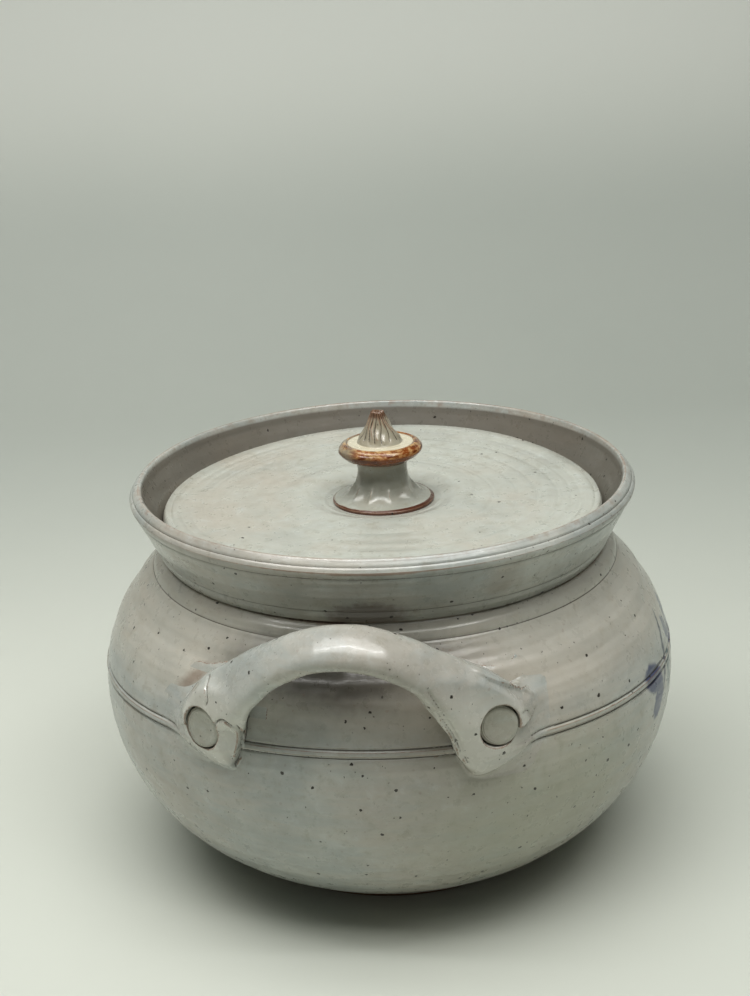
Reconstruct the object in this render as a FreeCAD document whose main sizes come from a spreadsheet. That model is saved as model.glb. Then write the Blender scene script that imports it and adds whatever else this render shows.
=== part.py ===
"""Lidded stoneware pot with two lug handles, as a parametric document.

Frame: millimetres, +Z up, the origin on the pot's axis at the level of the table that the foot stands on. The two
handles are on the -Y side (front) and the +Y side (back).
"""

import FreeCAD, Part
import math
import os
import re

import Sketcher
from FreeCAD import Placement, Rotation, Vector

SIZES = {
    # Foot
    "foot_radius": 71.0,
    "foot_height": 5.0,
    "foot_wall": 11.0,
    "foot_bevel": 1.2,
    # Bowl: two round stretches that meet at the belly, then a straight shoulder up to the neck
    "belly_radius": 121.3,
    "belly_height": 78.0,
    "lower_arc": 78.7,
    "upper_arc": 59.7,
    "shoulder_height": 117.0,
    "neck_radius": 93.5,
    "neck_height": 133.0,
    "neck_wall": 8.5,
    "wall": 6.5,
    "floor": 8.0,
    # Raised line round the bowl
    "cordon_height": 91.0,
    "cordon_radius": 119.3,
    "cordon_half": 2.0,
    "cordon_arc": 2.3,
    # Collar and its rounded lip
    "collar_wall": 6.5,
    "lip_radius": 105.0,
    "lip_height": 159.2,
    "lip_drop": 2.6,
    "rim_height": 162.0,
    "rim_radius": 101.6,
    "mouth_radius": 98.9,
    # Ledge that the lid sits on
    "ledge_radius": 82.0,
    "ledge_height": 143.9,
    "ledge_thick": 5.5,
    "ledge_root": 3.0,
    # Lid
    "seat_gap": 0.1,
    "lid_radius": 90.4,
    "lid_thick": 6.8,
    "lid_edge": 2.0,
    "guide_radius": 80.5,
    "guide_wall": 5.5,
    "guide_depth": 9.5,
    "guide_bevel": 1.5,
    # Knob, its heights counted from the top of the lid
    "knob_foot_radius": 21.4,
    "knob_foot_edge": 1.5,
    "waist_radius": 10.4,
    "waist_height": 11.8,
    "stem_top_radius": 11.6,
    "stem_top": 15.8,
    "ring_radius": 17.6,
    "ring_middle": 20.2,
    "ring_top": 23.6,
    "ring_top_radius": 14.0,
    "cone_radius": 9.6,
    "cone_top_radius": 2.6,
    "cone_height": 36.0,
    "tip_height": 36.8,
    # Handles: an arched strap, leaning outwards, with its two ends pressed on the belly
    "arch_half": 57.0,
    "arch_base_radius": 104.7,
    "arch_base_height": 93.0,
    "arch_reach": 127.3,
    "arch_height": 138.8,
    "arch_shift": 3.0,
    "strap_width": 18.0,
    "strap_thick": 11.0,
    "root_width": 25.0,
    "root_thick": 9.0,
    "root_angle": 27.5,
    "root_height": 88.0,
    "root_sink": 1.5,
    "toe_angle": 26.8,
    "toe_height": 94.5,
    "toe_width": 37.0,
    "toe_length": 28.0,
    "toe_proud": 6.6,
    "toe_tilt": 27.0,
    # Clay buttons over the strap's ends
    "pad_radius": 7.7,
    "pad_angle": 26.0,
    "pad_height": 100.2,
    "pad_tilt": 1.7,
    "pad_face": 127.2,
    "pad_depth": 4.0,
}
FUNCTIONS = ("sqrt",)
ARCH_STEPS = 6
ARCH_END = 0.84

doc = FreeCAD.newDocument("LiddedPot")
sheet = doc.addObject("Spreadsheet::Sheet", "Sizes")


def fill_sheet():
    """Writes each driving dimension in a row: its name, its value and the value's alias."""
    for row, (name, value) in enumerate(SIZES.items(), start=1):
        sheet.set(f"A{row}", name)
        sheet.set(f"B{row}", str(value))
        sheet.setAlias(f"B{row}", name)
    doc.recompute()


def bound(formula):
    """The formula with each dimension's name pointing at the sheet."""
    return re.sub(r"[a-z_]+", lambda word: word[0] if word[0] in FUNCTIONS else "Sizes." + word[0], formula)


def size(formula):
    """The present value of a formula of dimensions."""
    return float(sheet.evalExpression(bound(formula)))


def origin_plane(body, role):
    return next(feature for feature in body.Origin.OriginFeatures if feature.Role == role)


def arc_between(start, end, radius, left):
    """Arc of the given radius from start to end, its centre to the left of that direction or not."""
    chord = end - start
    across = Vector(-chord.y, chord.x, 0).normalize() * (1 if left else -1)
    centre = (start + end) * 0.5 + across * math.sqrt(radius**2 - (chord.Length / 2) ** 2)
    angles = [math.atan2(p.y - centre.y, p.x - centre.x) for p in ((start, end) if left else (end, start))]
    return Part.ArcOfCircle(Part.Circle(centre, Vector(0, 0, 1), radius), *angles)


def outline(body, name, corners):
    """Closed sketch on the body's XZ plane through the corners.

    A corner is (radius, height), reached by a straight edge, or (radius, height, arc radius, left), reached by an
    arc whose centre is to the left of the way there or not. Every number is a formula of dimensions.
    """
    sketch = body.newObject("Sketcher::SketchObject", name)
    sketch.AttachmentSupport = (origin_plane(body, "XZ_Plane"), "")
    sketch.MapMode = "FlatFace"
    points = [Vector(size(corner[0]), size(corner[1]), 0) for corner in corners]
    ends = []
    for i, corner in enumerate(corners):
        start, end = points[i - 1], points[i]
        if len(corner) == 2:
            edge, first, last = sketch.addGeometry(Part.LineSegment(start, end)), 1, 2
        else:
            edge = sketch.addGeometry(arc_between(start, end, size(corner[2]), corner[3]))
            first, last = (1, 2) if corner[3] else (2, 1)
            held = sketch.addConstraint(Sketcher.Constraint("Radius", edge, size(corner[2])))
            sketch.setExpression(f"Constraints[{held}]", bound(corner[2]))
        ends.append((edge, first, last))
    for i, corner in enumerate(corners):
        edge, _, last = ends[i]
        following, first, _ = ends[(i + 1) % len(ends)]
        sketch.addConstraint(Sketcher.Constraint("Coincident", edge, last, following, first))
        for kind, axis, formula in (("DistanceX", -2, corner[0]), ("DistanceY", -1, corner[1])):
            if size(formula) == 0:
                sketch.addConstraint(Sketcher.Constraint("PointOnObject", edge, last, axis))
                continue
            held = sketch.addConstraint(Sketcher.Constraint(kind, -1, 1, edge, last, size(formula)))
            sketch.setExpression(f"Constraints[{held}]", bound(formula))
    return sketch


def turned(body, name, corners):
    """Outline turned once round the pot's axis."""
    sketch = outline(body, name + "_outline", corners)
    feature = body.newObject("PartDesign::Revolution", name)
    feature.Profile = sketch
    feature.ReferenceAxis = (sketch, ["V_Axis"])
    feature.Angle = 360
    sketch.Visibility = False
    return feature


def turned_part(label, corners):
    body = doc.addObject("PartDesign::Body", label)
    body.Label = label
    turned(body, label + "_turned", corners)
    body.Placement = Placement()
    return body


# Formulas that several outlines share
LOWER_CENTRE = "(belly_radius - lower_arc)"
UPPER_CENTRE = "(belly_radius - upper_arc)"
ARC_RISE = "(shoulder_height - belly_height)"
INNER_RISE = f"({ARC_RISE} * (upper_arc - wall) / upper_arc)"
COLLAR_SLOPE = "((mouth_radius - neck_radius + collar_wall) / (lip_height - neck_height))"
LID_TOP = "(ledge_height + seat_gap + lid_thick)"


def lower_radius(height, inset="0"):
    """Radius of the bowl's lower arc at a height, the given distance inside its outer face."""
    return f"{LOWER_CENTRE} + sqrt((lower_arc - {inset})^2 - (belly_height - ({height}))^2)"


def collar_inside(height):
    """Radius of the collar's inner cone at a height."""
    return f"neck_radius - collar_wall + {COLLAR_SLOPE} * ({height} - neck_height)"


def pot_body():
    """Thrown bowl: an even wall, a flat floor, and the raised line round it."""
    body = turned_part("pot_body", [
        ("0", "foot_height + floor"),
        ("0", "foot_height"),
        (lower_radius("foot_height"), "foot_height"),
        ("belly_radius", "belly_height", "lower_arc", True),
        (f"{UPPER_CENTRE} + sqrt(upper_arc^2 - {ARC_RISE}^2)", "shoulder_height", "upper_arc", True),
        ("neck_radius", "neck_height"),
        ("neck_radius - neck_wall", "neck_height"),
        (f"{UPPER_CENTRE} + sqrt((upper_arc - wall)^2 - {INNER_RISE}^2)", f"belly_height + {INNER_RISE}"),
        ("belly_radius - wall", "belly_height", "upper_arc - wall", False),
        (lower_radius("foot_height + floor", "wall"), "foot_height + floor", "lower_arc - wall", False),
    ])
    turned(body, "cordon", [
        ("cordon_radius", "cordon_height - cordon_half"),
        ("cordon_radius", "cordon_height + cordon_half", "cordon_arc", True),
    ])
    return body


def foot_ring():
    """Turned foot: a low ring with a bevelled outer edge."""
    return turned_part("foot_ring", [
        ("foot_radius - foot_wall", "0"),
        ("foot_radius - foot_bevel", "0"),
        ("foot_radius", "foot_bevel"),
        ("foot_radius", "foot_height"),
        ("foot_radius - foot_wall", "foot_height"),
    ])


def rim_collar():
    """Collar that flares from the neck and ends in a rounded lip."""
    return turned_part("rim_collar", [
        ("neck_radius - collar_wall", "neck_height"),
        ("neck_radius", "neck_height"),
        ("lip_radius - 1", "lip_height - lip_drop"),
        ("lip_radius", "lip_height"),
        ("rim_radius", "rim_height", "lip_radius - rim_radius", True),
        ("mouth_radius", "lip_height", "lip_radius - rim_radius", True),
    ])


def lid_gallery():
    """Ledge inside the collar: level on top, sloping underneath."""
    root = "(ledge_height - ledge_thick - ledge_root)"
    return turned_part("lid_gallery", [
        ("ledge_radius", "ledge_height - ledge_thick"),
        (collar_inside(root), root),
        (collar_inside("ledge_height"), "ledge_height"),
        ("ledge_radius", "ledge_height"),
    ])


def lid_plate():
    """Flat lid with a rounded edge."""
    bottom = "(ledge_height + seat_gap)"
    return turned_part("lid_plate", [
        ("0", bottom),
        ("lid_radius - lid_edge", bottom),
        ("lid_radius", f"{bottom} + lid_edge", "lid_edge", True),
        ("lid_radius", f"{LID_TOP} - lid_edge"),
        ("lid_radius - lid_edge", LID_TOP, "lid_edge", True),
        ("0", LID_TOP),
    ])


def lid_locating_ring():
    """Ring under the lid that drops inside the ledge."""
    bottom = "(ledge_height + seat_gap - guide_depth)"
    return turned_part("lid_locating_ring", [
        ("guide_radius - guide_wall", bottom),
        ("guide_radius - guide_bevel", bottom),
        ("guide_radius", f"{bottom} + guide_bevel"),
        ("guide_radius", "ledge_height + seat_gap"),
        ("guide_radius - guide_wall", "ledge_height + seat_gap"),
    ])


def knob_pedestal():
    """Waisted stem on a wide foot with a sharp edge."""
    return turned_part("knob_pedestal", [
        ("0", LID_TOP),
        ("knob_foot_radius", LID_TOP),
        ("knob_foot_radius", f"{LID_TOP} + knob_foot_edge"),
        ("waist_radius", f"{LID_TOP} + waist_height", "waist_height", False),
        ("stem_top_radius", f"{LID_TOP} + stem_top"),
        ("0", f"{LID_TOP} + stem_top"),
    ])


def knob_ring():
    """Rounded flange on the stem, level on top."""
    return turned_part("knob_ring", [
        ("0", f"{LID_TOP} + stem_top"),
        ("stem_top_radius", f"{LID_TOP} + stem_top"),
        ("ring_radius", f"{LID_TOP} + ring_middle", "ring_radius - stem_top_radius", True),
        ("ring_top_radius", f"{LID_TOP} + ring_top", "ring_top - ring_middle + 0.4", True),
        ("0", f"{LID_TOP} + ring_top"),
    ])


def knob_finial():
    """Blunt cone on the flange."""
    return turned_part("knob_finial", [
        ("0", f"{LID_TOP} + ring_top"),
        ("cone_radius", f"{LID_TOP} + ring_top"),
        ("cone_top_radius", f"{LID_TOP} + cone_height"),
        ("cone_top_radius / 2", f"{LID_TOP} + tip_height"),
        ("0", f"{LID_TOP} + tip_height"),
    ])


def outwards(degrees):
    """Direction straight out of the bowl, at an angle from the middle of the front handle."""
    return Vector(math.sin(math.radians(degrees)), -math.cos(math.radians(degrees)), 0)


def belly_point(degrees, height, proud):
    """Point that stands off the bowl's outer face, between the belly and the shoulder."""
    radius = size(UPPER_CENTRE) + math.sqrt(size("upper_arc") ** 2 - (height - size("belly_height")) ** 2) + proud
    return outwards(degrees) * radius + Vector(0, 0, height)


def arch_point(across):
    """Point of the arch's centre line: a parabola over the two roots, in a plane that leans outwards."""
    lean = 1 - across**2
    shift = size("arch_shift") * lean
    return Vector(
        across * size("arch_half") + shift,
        -(size("arch_base_radius") + (size("arch_reach") - size("arch_base_radius")) * lean),
        size("arch_base_height") + (size("arch_height") - size("arch_base_height")) * lean,
    )


def strap_path():
    """Centre line of the front handle: from one root, sunk in the belly, over the arch to the other."""
    arch = [arch_point(ARCH_END * step / ARCH_STEPS) for step in range(-ARCH_STEPS, ARCH_STEPS + 1)]
    left, right = (belly_point(hand * size("root_angle"), size("root_height"), -size("root_sink")) for hand in (-1, 1))
    curve = Part.BSplineCurve()
    curve.interpolate([left, *arch, right])
    return curve


def strap_frame(curve, parameter, spread):
    """Placement of a section: its long axis across the strap, its short axis along the strap's face normal.

    The strap's face looks out of the arch at the top (spread 0) and straight out of the bowl at the ends (1)."""
    point = curve.value(parameter)
    along = curve.tangent(parameter)[0]
    lean = (arch_point(0) - Vector(0, -size("arch_base_radius"), size("arch_base_height"))).normalize()
    out_of_arch = Vector(1, 0, 0).cross(lean).cross(along)
    out_of_arch = out_of_arch * (1 if out_of_arch.dot(lean) > 0 else -1)
    out_of_bowl = Vector(point.x, point.y, 0).normalize()
    face = out_of_arch.normalize() * (1 - spread) + out_of_bowl * spread
    face = (face - along * face.dot(along)).normalize()
    return Placement(point, Rotation(face.cross(along) * -1, face, along, "XYZ"))


def strap(name, turn):
    """Loft through elliptical sections, wider and flatter towards the toes."""
    curve = strap_path()
    middle = (curve.FirstParameter + curve.LastParameter) / 2
    half = (curve.LastParameter - curve.FirstParameter) / 2
    sections = []
    for i in range(-ARCH_STEPS - 1, ARCH_STEPS + 2):
        share = i / (ARCH_STEPS + 1)
        spread = share**2
        wide = abs(share) ** 3
        section = doc.addObject("Part::Ellipse", f"{name}_section")
        section.setExpression("MajorRadius", bound(f"(strap_width + (root_width - strap_width) * {wide:.4f}) / 2"))
        section.setExpression("MinorRadius", bound(f"(strap_thick + (root_thick - strap_thick) * {wide:.4f}) / 2"))
        section.Placement = turn * strap_frame(curve, middle + half * share, spread)
        sections.append(section)
    loft = doc.addObject("Part::Loft", f"{name}_strap")
    loft.Sections = sections
    loft.Solid = True
    loft.Ruled = False
    return loft


def toe(name, hand, turn):
    """Flattened lobe of clay at the strap's end, pressed on the belly, its outer side tilted upwards."""
    out = outwards(hand * size("toe_angle"))
    level = Vector(0, 0, 1).cross(out)
    tilt = math.radians(hand * size("toe_tilt"))
    across = level * math.cos(tilt) + Vector(0, 0, math.sin(tilt))
    lobe = doc.addObject("Part::Ellipsoid", name)
    lobe.setExpression("Radius1", bound("toe_proud"))
    lobe.setExpression("Radius2", bound("toe_width / 2"))
    lobe.setExpression("Radius3", bound("toe_length / 2"))
    place = Placement(belly_point(hand * size("toe_angle"), size("toe_height"), 0), Rotation(across, Vector(), out, "ZXY"))
    lobe.Placement = turn * place
    return lobe


def bowl_envelope(name):
    """The bowl's outer form, filled, that the strap's ends are trimmed to."""
    envelope = doc.addObject("PartDesign::Body", name)
    turned(envelope, name + "_turned", [
        ("0", "foot_height"),
        (lower_radius("foot_height"), "foot_height"),
        ("belly_radius", "belly_height", "lower_arc", True),
        (f"{UPPER_CENTRE} + sqrt(upper_arc^2 - {ARC_RISE}^2)", "shoulder_height", "upper_arc", True),
        ("neck_radius", "neck_height"),
        ("0", "neck_height"),
    ])
    turned(envelope, name + "_cordon", [
        ("cordon_radius", "cordon_height - cordon_half"),
        ("cordon_radius", "cordon_height + cordon_half", "cordon_arc", True),
    ])
    return envelope


def clay_pad(label, hand, turn):
    """Clay button: a low round disc that faces straight out of the bowl, on the left (-1) or right (1) toe."""
    out = outwards(hand * size("pad_angle"))
    height = size("pad_height") + hand * size("pad_tilt")
    pad = doc.addObject("Part::Cylinder", label)
    pad.Label = label
    pad.setExpression("Radius", bound("pad_radius"))
    pad.setExpression("Height", bound("pad_depth"))
    place = Placement(out * size("pad_face - pad_depth") + Vector(0, 0, height), Rotation(Vector(0, 0, 1), out))
    pad.Placement = turn * place
    return pad


def handle(side, degrees):
    """Strap and its two buttons, turned about the pot's axis to their own side."""
    turn = Placement(Vector(), Rotation(Vector(0, 0, 1), degrees))
    pads = [clay_pad(f"{side}_left_pad", -1, turn), clay_pad(f"{side}_right_pad", 1, turn)]
    clay = doc.addObject("Part::MultiFuse", f"{side}_clay")
    clay.Shapes = [strap(side, turn), toe(f"{side}_left_toe", -1, turn), toe(f"{side}_right_toe", 1, turn)]
    trims = doc.addObject("Part::MultiFuse", f"{side}_trims")
    trims.Shapes = [bowl_envelope(f"{side}_envelope"), *pads]
    cut = doc.addObject("Part::Cut", f"{side}_handle")
    cut.Label = f"{side}_handle"
    cut.Base = clay
    cut.Tool = trims
    return [cut, *pads]


def check(parts):
    """Stops if any object failed, or if a part's shape isn't one valid closed solid."""
    for thing in doc.Objects:
        if "Invalid" in thing.State or "Error" in thing.State:
            raise RuntimeError(f"{thing.Label} failed: {thing.State}")
    for part in parts:
        shape = part.Shape
        if shape.isNull() or not shape.isValid() or len(shape.Solids) != 1 or shape.Volume <= 0:
            raise RuntimeError(f"{part.Label} is not one valid solid: {len(shape.Solids)}")


def write(parts):
    os.makedirs("parts", exist_ok=True)
    for part in parts:
        part.Shape.exportStep(f"parts/{part.Label}.step")
        print(f"{part.Label:20s} {part.Shape.Volume / 1000:8.1f} cm3")


fill_sheet()
parts = [
    pot_body(), foot_ring(), rim_collar(), lid_gallery(),
    lid_plate(), lid_locating_ring(), knob_pedestal(), knob_ring(), knob_finial(),
    *handle("front", 0), *handle("back", 180),
]
doc.recompute()
check(parts)
write(parts)
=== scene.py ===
"""Looks of a thrown stoneware pot with two strap handles and a lift-off lid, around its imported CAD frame.

Lengths in this script are millimetres in the frame's own axes, and MM turns them into Blender's metres.
Angles round the pot (azimuth) are counted from the middle of the front handle, on -Y, and grow towards +X.
"""

import math

import bpy
import numpy as np
from mathutils import Matrix, Vector


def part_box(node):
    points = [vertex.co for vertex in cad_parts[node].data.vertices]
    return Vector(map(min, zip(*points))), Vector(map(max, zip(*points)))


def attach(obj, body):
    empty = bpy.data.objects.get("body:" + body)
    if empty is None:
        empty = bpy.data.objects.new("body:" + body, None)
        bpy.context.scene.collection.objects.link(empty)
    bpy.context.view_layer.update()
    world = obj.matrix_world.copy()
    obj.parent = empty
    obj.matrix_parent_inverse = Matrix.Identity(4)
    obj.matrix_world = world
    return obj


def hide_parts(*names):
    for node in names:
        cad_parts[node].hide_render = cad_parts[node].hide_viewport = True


MM = 0.001
TURN = 2 * math.pi
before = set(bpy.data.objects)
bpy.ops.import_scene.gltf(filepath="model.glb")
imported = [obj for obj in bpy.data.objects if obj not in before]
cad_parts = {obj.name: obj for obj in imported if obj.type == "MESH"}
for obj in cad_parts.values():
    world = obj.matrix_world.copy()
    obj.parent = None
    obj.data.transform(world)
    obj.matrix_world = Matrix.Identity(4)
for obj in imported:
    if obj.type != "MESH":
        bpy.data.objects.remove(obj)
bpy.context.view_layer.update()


# ---------------------------------------------------------------- sizes, read from the frame
def node_box(node):
    low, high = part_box(node)
    return np.array(low) / MM, np.array(high) / MM


BOWL_LOW, BOWL_HIGH = node_box("pot_body")
_, COLLAR_HIGH = node_box("rim_collar")
_, LEDGE_HIGH = node_box("lid_gallery")
LID_LOW, LID_HIGH = node_box("lid_plate")
GUIDE_LOW, GUIDE_HIGH = node_box("lid_locating_ring")
_, STEM_HIGH = node_box("knob_pedestal")
RING_LOW, RING_HIGH = node_box("knob_ring")
CONE_LOW, CONE_HIGH = node_box("knob_finial")

BELLY_R = BOWL_HIGH[0]
FOOT_TOP = BOWL_LOW[2]
NECK_Z = BOWL_HIGH[2]
RIM_Z = COLLAR_HIGH[2]
LIP_R = COLLAR_HIGH[0]
LID_TOP = LID_HIGH[2]
# The bowl's outer form: two tangent arcs that meet at the belly, then a straight shoulder up to the neck
BELLY_Z = 78.0
LOWER_ARC = 78.7
UPPER_ARC = 59.7
SHOULDER_Z = 117.0
NECK_R = 93.5
WALL = 6.5
NECK_WALL = 8.5
LIP_Z = 159.2
MOUTH_R = 98.9
LEDGE_R = 82.0
LEDGE_THICK = 5.5
FLOOR_Z = FOOT_TOP + 8.0
LOWER_CENTRE = BELLY_R - LOWER_ARC
UPPER_CENTRE = BELLY_R - UPPER_ARC
CORDON_Z = 91.0


# ---------------------------------------------------------------- small tools
def ramp(low, high, x):
    """0 below low, 1 above high, smooth between."""
    t = np.clip((x - low) / (high - low), 0.0, 1.0)
    return t * t * (3 - 2 * t)


def bell(x, centre, width):
    return np.exp(-(((x - centre) / width) ** 2))


def turn_gap(angle, centre):
    """Signed angle from centre, within half a turn."""
    return (angle - centre + math.pi) % TURN - math.pi


def wander(angle, seed, waves=6):
    """Smooth random value of an angle, about -1 to 1, the same after a full turn."""
    rng = np.random.default_rng(seed)
    total = np.zeros_like(angle, dtype=float)
    for k in range(1, waves + 1):
        _, phase = rng.uniform(0, TURN, 2)
        total += np.cos(k * angle + phase) / k
    return total / 1.6


def lumps(points, length, seed, waves=14):
    """Smooth random value of a place, about -1 to 1, with bumps about one length across."""
    rng = np.random.default_rng(seed)
    total = np.zeros(points.shape[:-1])
    for _ in range(waves):
        direction = rng.normal(size=3)
        direction /= np.linalg.norm(direction)
        pitch = math.pi / (length * rng.uniform(0.7, 1.5))
        total += np.cos(points @ direction * pitch + rng.uniform(0, TURN))
    return total / math.sqrt(waves) * 0.8


def arc(centre, radius, start, end, count):
    """Points (radius, height) on an arc in the outline's plane, angles in degrees."""
    angles = np.radians(np.linspace(start, end, count))
    return np.stack([centre[0] + radius * np.cos(angles), centre[1] + radius * np.sin(angles)], -1)


def smooth_line(knots, count):
    """Points evenly spread on a smooth curve through the knots (Catmull-Rom, spaced by chord)."""
    knots = np.asarray(knots, float)
    knots = np.concatenate([[2 * knots[0] - knots[1]], knots, [2 * knots[-1] - knots[-2]]])
    fine = []
    for a, b, c, d in zip(knots, knots[1:], knots[2:], knots[3:]):
        t = np.linspace(0, 1, 40, endpoint=False)[:, None]
        square, cube = (2 * a - 5 * b + 4 * c - d) * t**2, (3 * b - a - 3 * c + d) * t**3
        fine.append(0.5 * (2 * b + (c - a) * t + square + cube))
    fine = np.concatenate([*fine, knots[-2:-1]])
    lengths = run_length(fine)
    even = np.linspace(0, lengths[-1], count)
    return np.stack([np.interp(even, lengths, fine[:, k]) for k in range(fine.shape[1])], -1)


def spaced(points, step, fine=(), fine_step=0.22, reach=2.6):
    """The same line with points about one step apart, closer together near the fine heights."""
    points = np.asarray(points, float)
    lengths = run_length(points)
    dense = np.linspace(0, lengths[-1], max(3, int(lengths[-1] / 0.05)))
    radius = np.interp(dense, lengths, points[:, 0])
    height = np.interp(dense, lengths, points[:, 1])
    local = np.full_like(dense, step)
    for z in fine:
        near = 1 - ramp(reach * 0.6, reach, np.abs(height - z))
        local = np.minimum(local, step + (fine_step - step) * near)
    count = np.concatenate([[0], np.cumsum(np.diff(dense) / local[1:])])
    wanted = np.linspace(0, count[-1], max(3, int(round(count[-1])) + 1))
    place = np.interp(wanted, count, dense)
    return np.stack([np.interp(place, dense, radius), np.interp(place, dense, height)], -1)


def run_length(points):
    """How far along a line each of its points is."""
    return np.concatenate([[0], np.cumsum(np.linalg.norm(np.diff(points, axis=0), axis=1))])


def unit(vectors):
    return vectors / np.linalg.norm(vectors, axis=1)[:, None]


def join(*lines):
    """Lines end to end, without repeated points."""
    points = np.concatenate([np.atleast_2d(np.asarray(line, float)) for line in lines])
    keep = np.concatenate([[True], np.linalg.norm(np.diff(points, axis=0), axis=1) > 1e-4])
    return points[keep]


# ---------------------------------------------------------------- meshes
def add_object(name, data):
    item = bpy.data.objects.new(name, data)
    bpy.context.scene.collection.objects.link(item)
    return item


def add_mesh(name, points, faces, material, body, slot, *nodes):
    """A smooth-shaded piece from points in millimetres, riding on a body in place of its CAD nodes."""
    mesh = bpy.data.meshes.new(name)
    mesh.from_pydata((points * MM).tolist(), [], faces if isinstance(faces, list) else faces.tolist())
    mesh.validate()
    mesh.polygons.foreach_set("use_smooth", np.ones(len(mesh.polygons), bool))
    mesh.materials.append(material)
    piece = add_object(name, mesh)
    mark_curvature(mesh)
    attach(piece, body)
    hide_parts(*nodes)
    return piece


def read(items, key, width, kind=np.float64):
    values = np.empty(len(items) * width, kind)
    items.foreach_get(key, values)
    return values.reshape(-1, width)


def store(mesh, label, values):
    layer = mesh.attributes.new(label, "FLOAT", "POINT")
    layer.data.foreach_set("value", values.astype(np.float32))


def mark_curvature(mesh, passes=2):
    """Stores how far each point stands out of its neighbours (edge) or lies in a crease (pool), 0 to 1."""
    count = len(mesh.vertices)
    places, normal = read(mesh.vertices, "co", 3) / MM, read(mesh.vertex_normals, "vector", 3)
    a, b = read(mesh.edges, "vertices", 2, np.int64).T
    gap = places[b] - places[a]
    square = np.maximum((gap**2).sum(1), 1e-12)
    degree = np.bincount(a, minlength=count) + np.bincount(b, minlength=count)
    bend = np.bincount(a, (gap * normal[a]).sum(1) / square, count)
    bend -= np.bincount(b, (gap * normal[b]).sum(1) / square, count)
    bend = 2 * bend / np.maximum(degree, 1)
    for _ in range(passes):
        near = np.bincount(a, bend[b], count) + np.bincount(b, bend[a], count)
        bend = 0.5 * bend + 0.5 * near / np.maximum(degree, 1)
    store(mesh, "pool", ramp(0.06, 0.8, bend))
    store(mesh, "edge", ramp(0.06, 0.9, -bend))


def mark_inside(piece, points, middle):
    """Stores 1 on the points nearer the axis than the middle of the wall, and 0 outside."""
    store(piece.data, "inside", np.hypot(points[:, 0], points[:, 1]) < middle)


def turned(outline, segments, relief=None, slide=None, sway=None):
    """Points and faces of an outline (radius, height) turned round the axis.

    relief(radius, height, angle, out_r, out_z) moves the skin along its own normal, slide(height, angle)
    moves it along the outline, and sway(x, y, z) lifts it. An outline that starts and ends on the axis is
    closed with a fan at each end, and any other is a closed ring."""
    capped = outline[0, 0] == 0
    rows = outline[1:-1] if capped else outline
    before, after = np.roll(rows, 1, axis=0), np.roll(rows, -1, axis=0)
    if capped:
        before[0], after[-1] = outline[0], outline[-1]
    along = unit(after - before)
    out_r, out_z = along[:, 1:], -along[:, :1]
    angle = np.linspace(0, TURN, segments, endpoint=False)[None, :] + np.zeros((len(rows), 1))
    radius, height = rows[:, :1] + 0 * angle, rows[:, 1:] + 0 * angle
    push = relief(radius, height, angle, out_r + 0 * angle, out_z + 0 * angle) if relief else 0
    if slide:
        lengths = run_length(rows)
        moved = lengths[:, None] + slide(height, angle) * (out_r > 0.2)
        radius, height = (np.interp(moved, lengths, rows[:, k]) for k in (0, 1))
        out_r, out_z = (np.interp(moved, lengths, k[:, 0]) for k in (out_r, out_z))
    radius, height = radius + push * out_r, height + push * out_z
    points = np.stack([radius * np.sin(angle), -radius * np.cos(angle), height], -1).reshape(-1, 3)
    i = np.arange(len(rows) - 1 if capped else len(rows))[:, None]
    j = np.arange(segments)[None, :]
    above, right = (i + 1) % len(rows), (j + 1) % segments
    row, next_row = i * segments, above * segments
    faces = np.stack([row + j, row + right, next_row + right, next_row + j], -1).reshape(-1, 4).tolist()
    if capped:
        first, last, top = len(points), len(points) + 1, (len(rows) - 1) * segments
        points = np.concatenate([points, [[0, 0, outline[0, 1]], [0, 0, outline[-1, 1]]]])
        faces += [[first, (k + 1) % segments, k] for k in range(segments)]
        faces += [[last, top + k, top + (k + 1) % segments] for k in range(segments)]
    if sway:
        points[:, 2] += sway(*points.T)
    return points, faces


def sampled(field, points, chunk=200_000):
    flat = points.reshape(-1, 3)
    parts = [field(flat[k:k + chunk]) for k in range(0, len(flat), chunk)]
    return np.concatenate(parts).reshape(points.shape[:-1])


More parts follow.
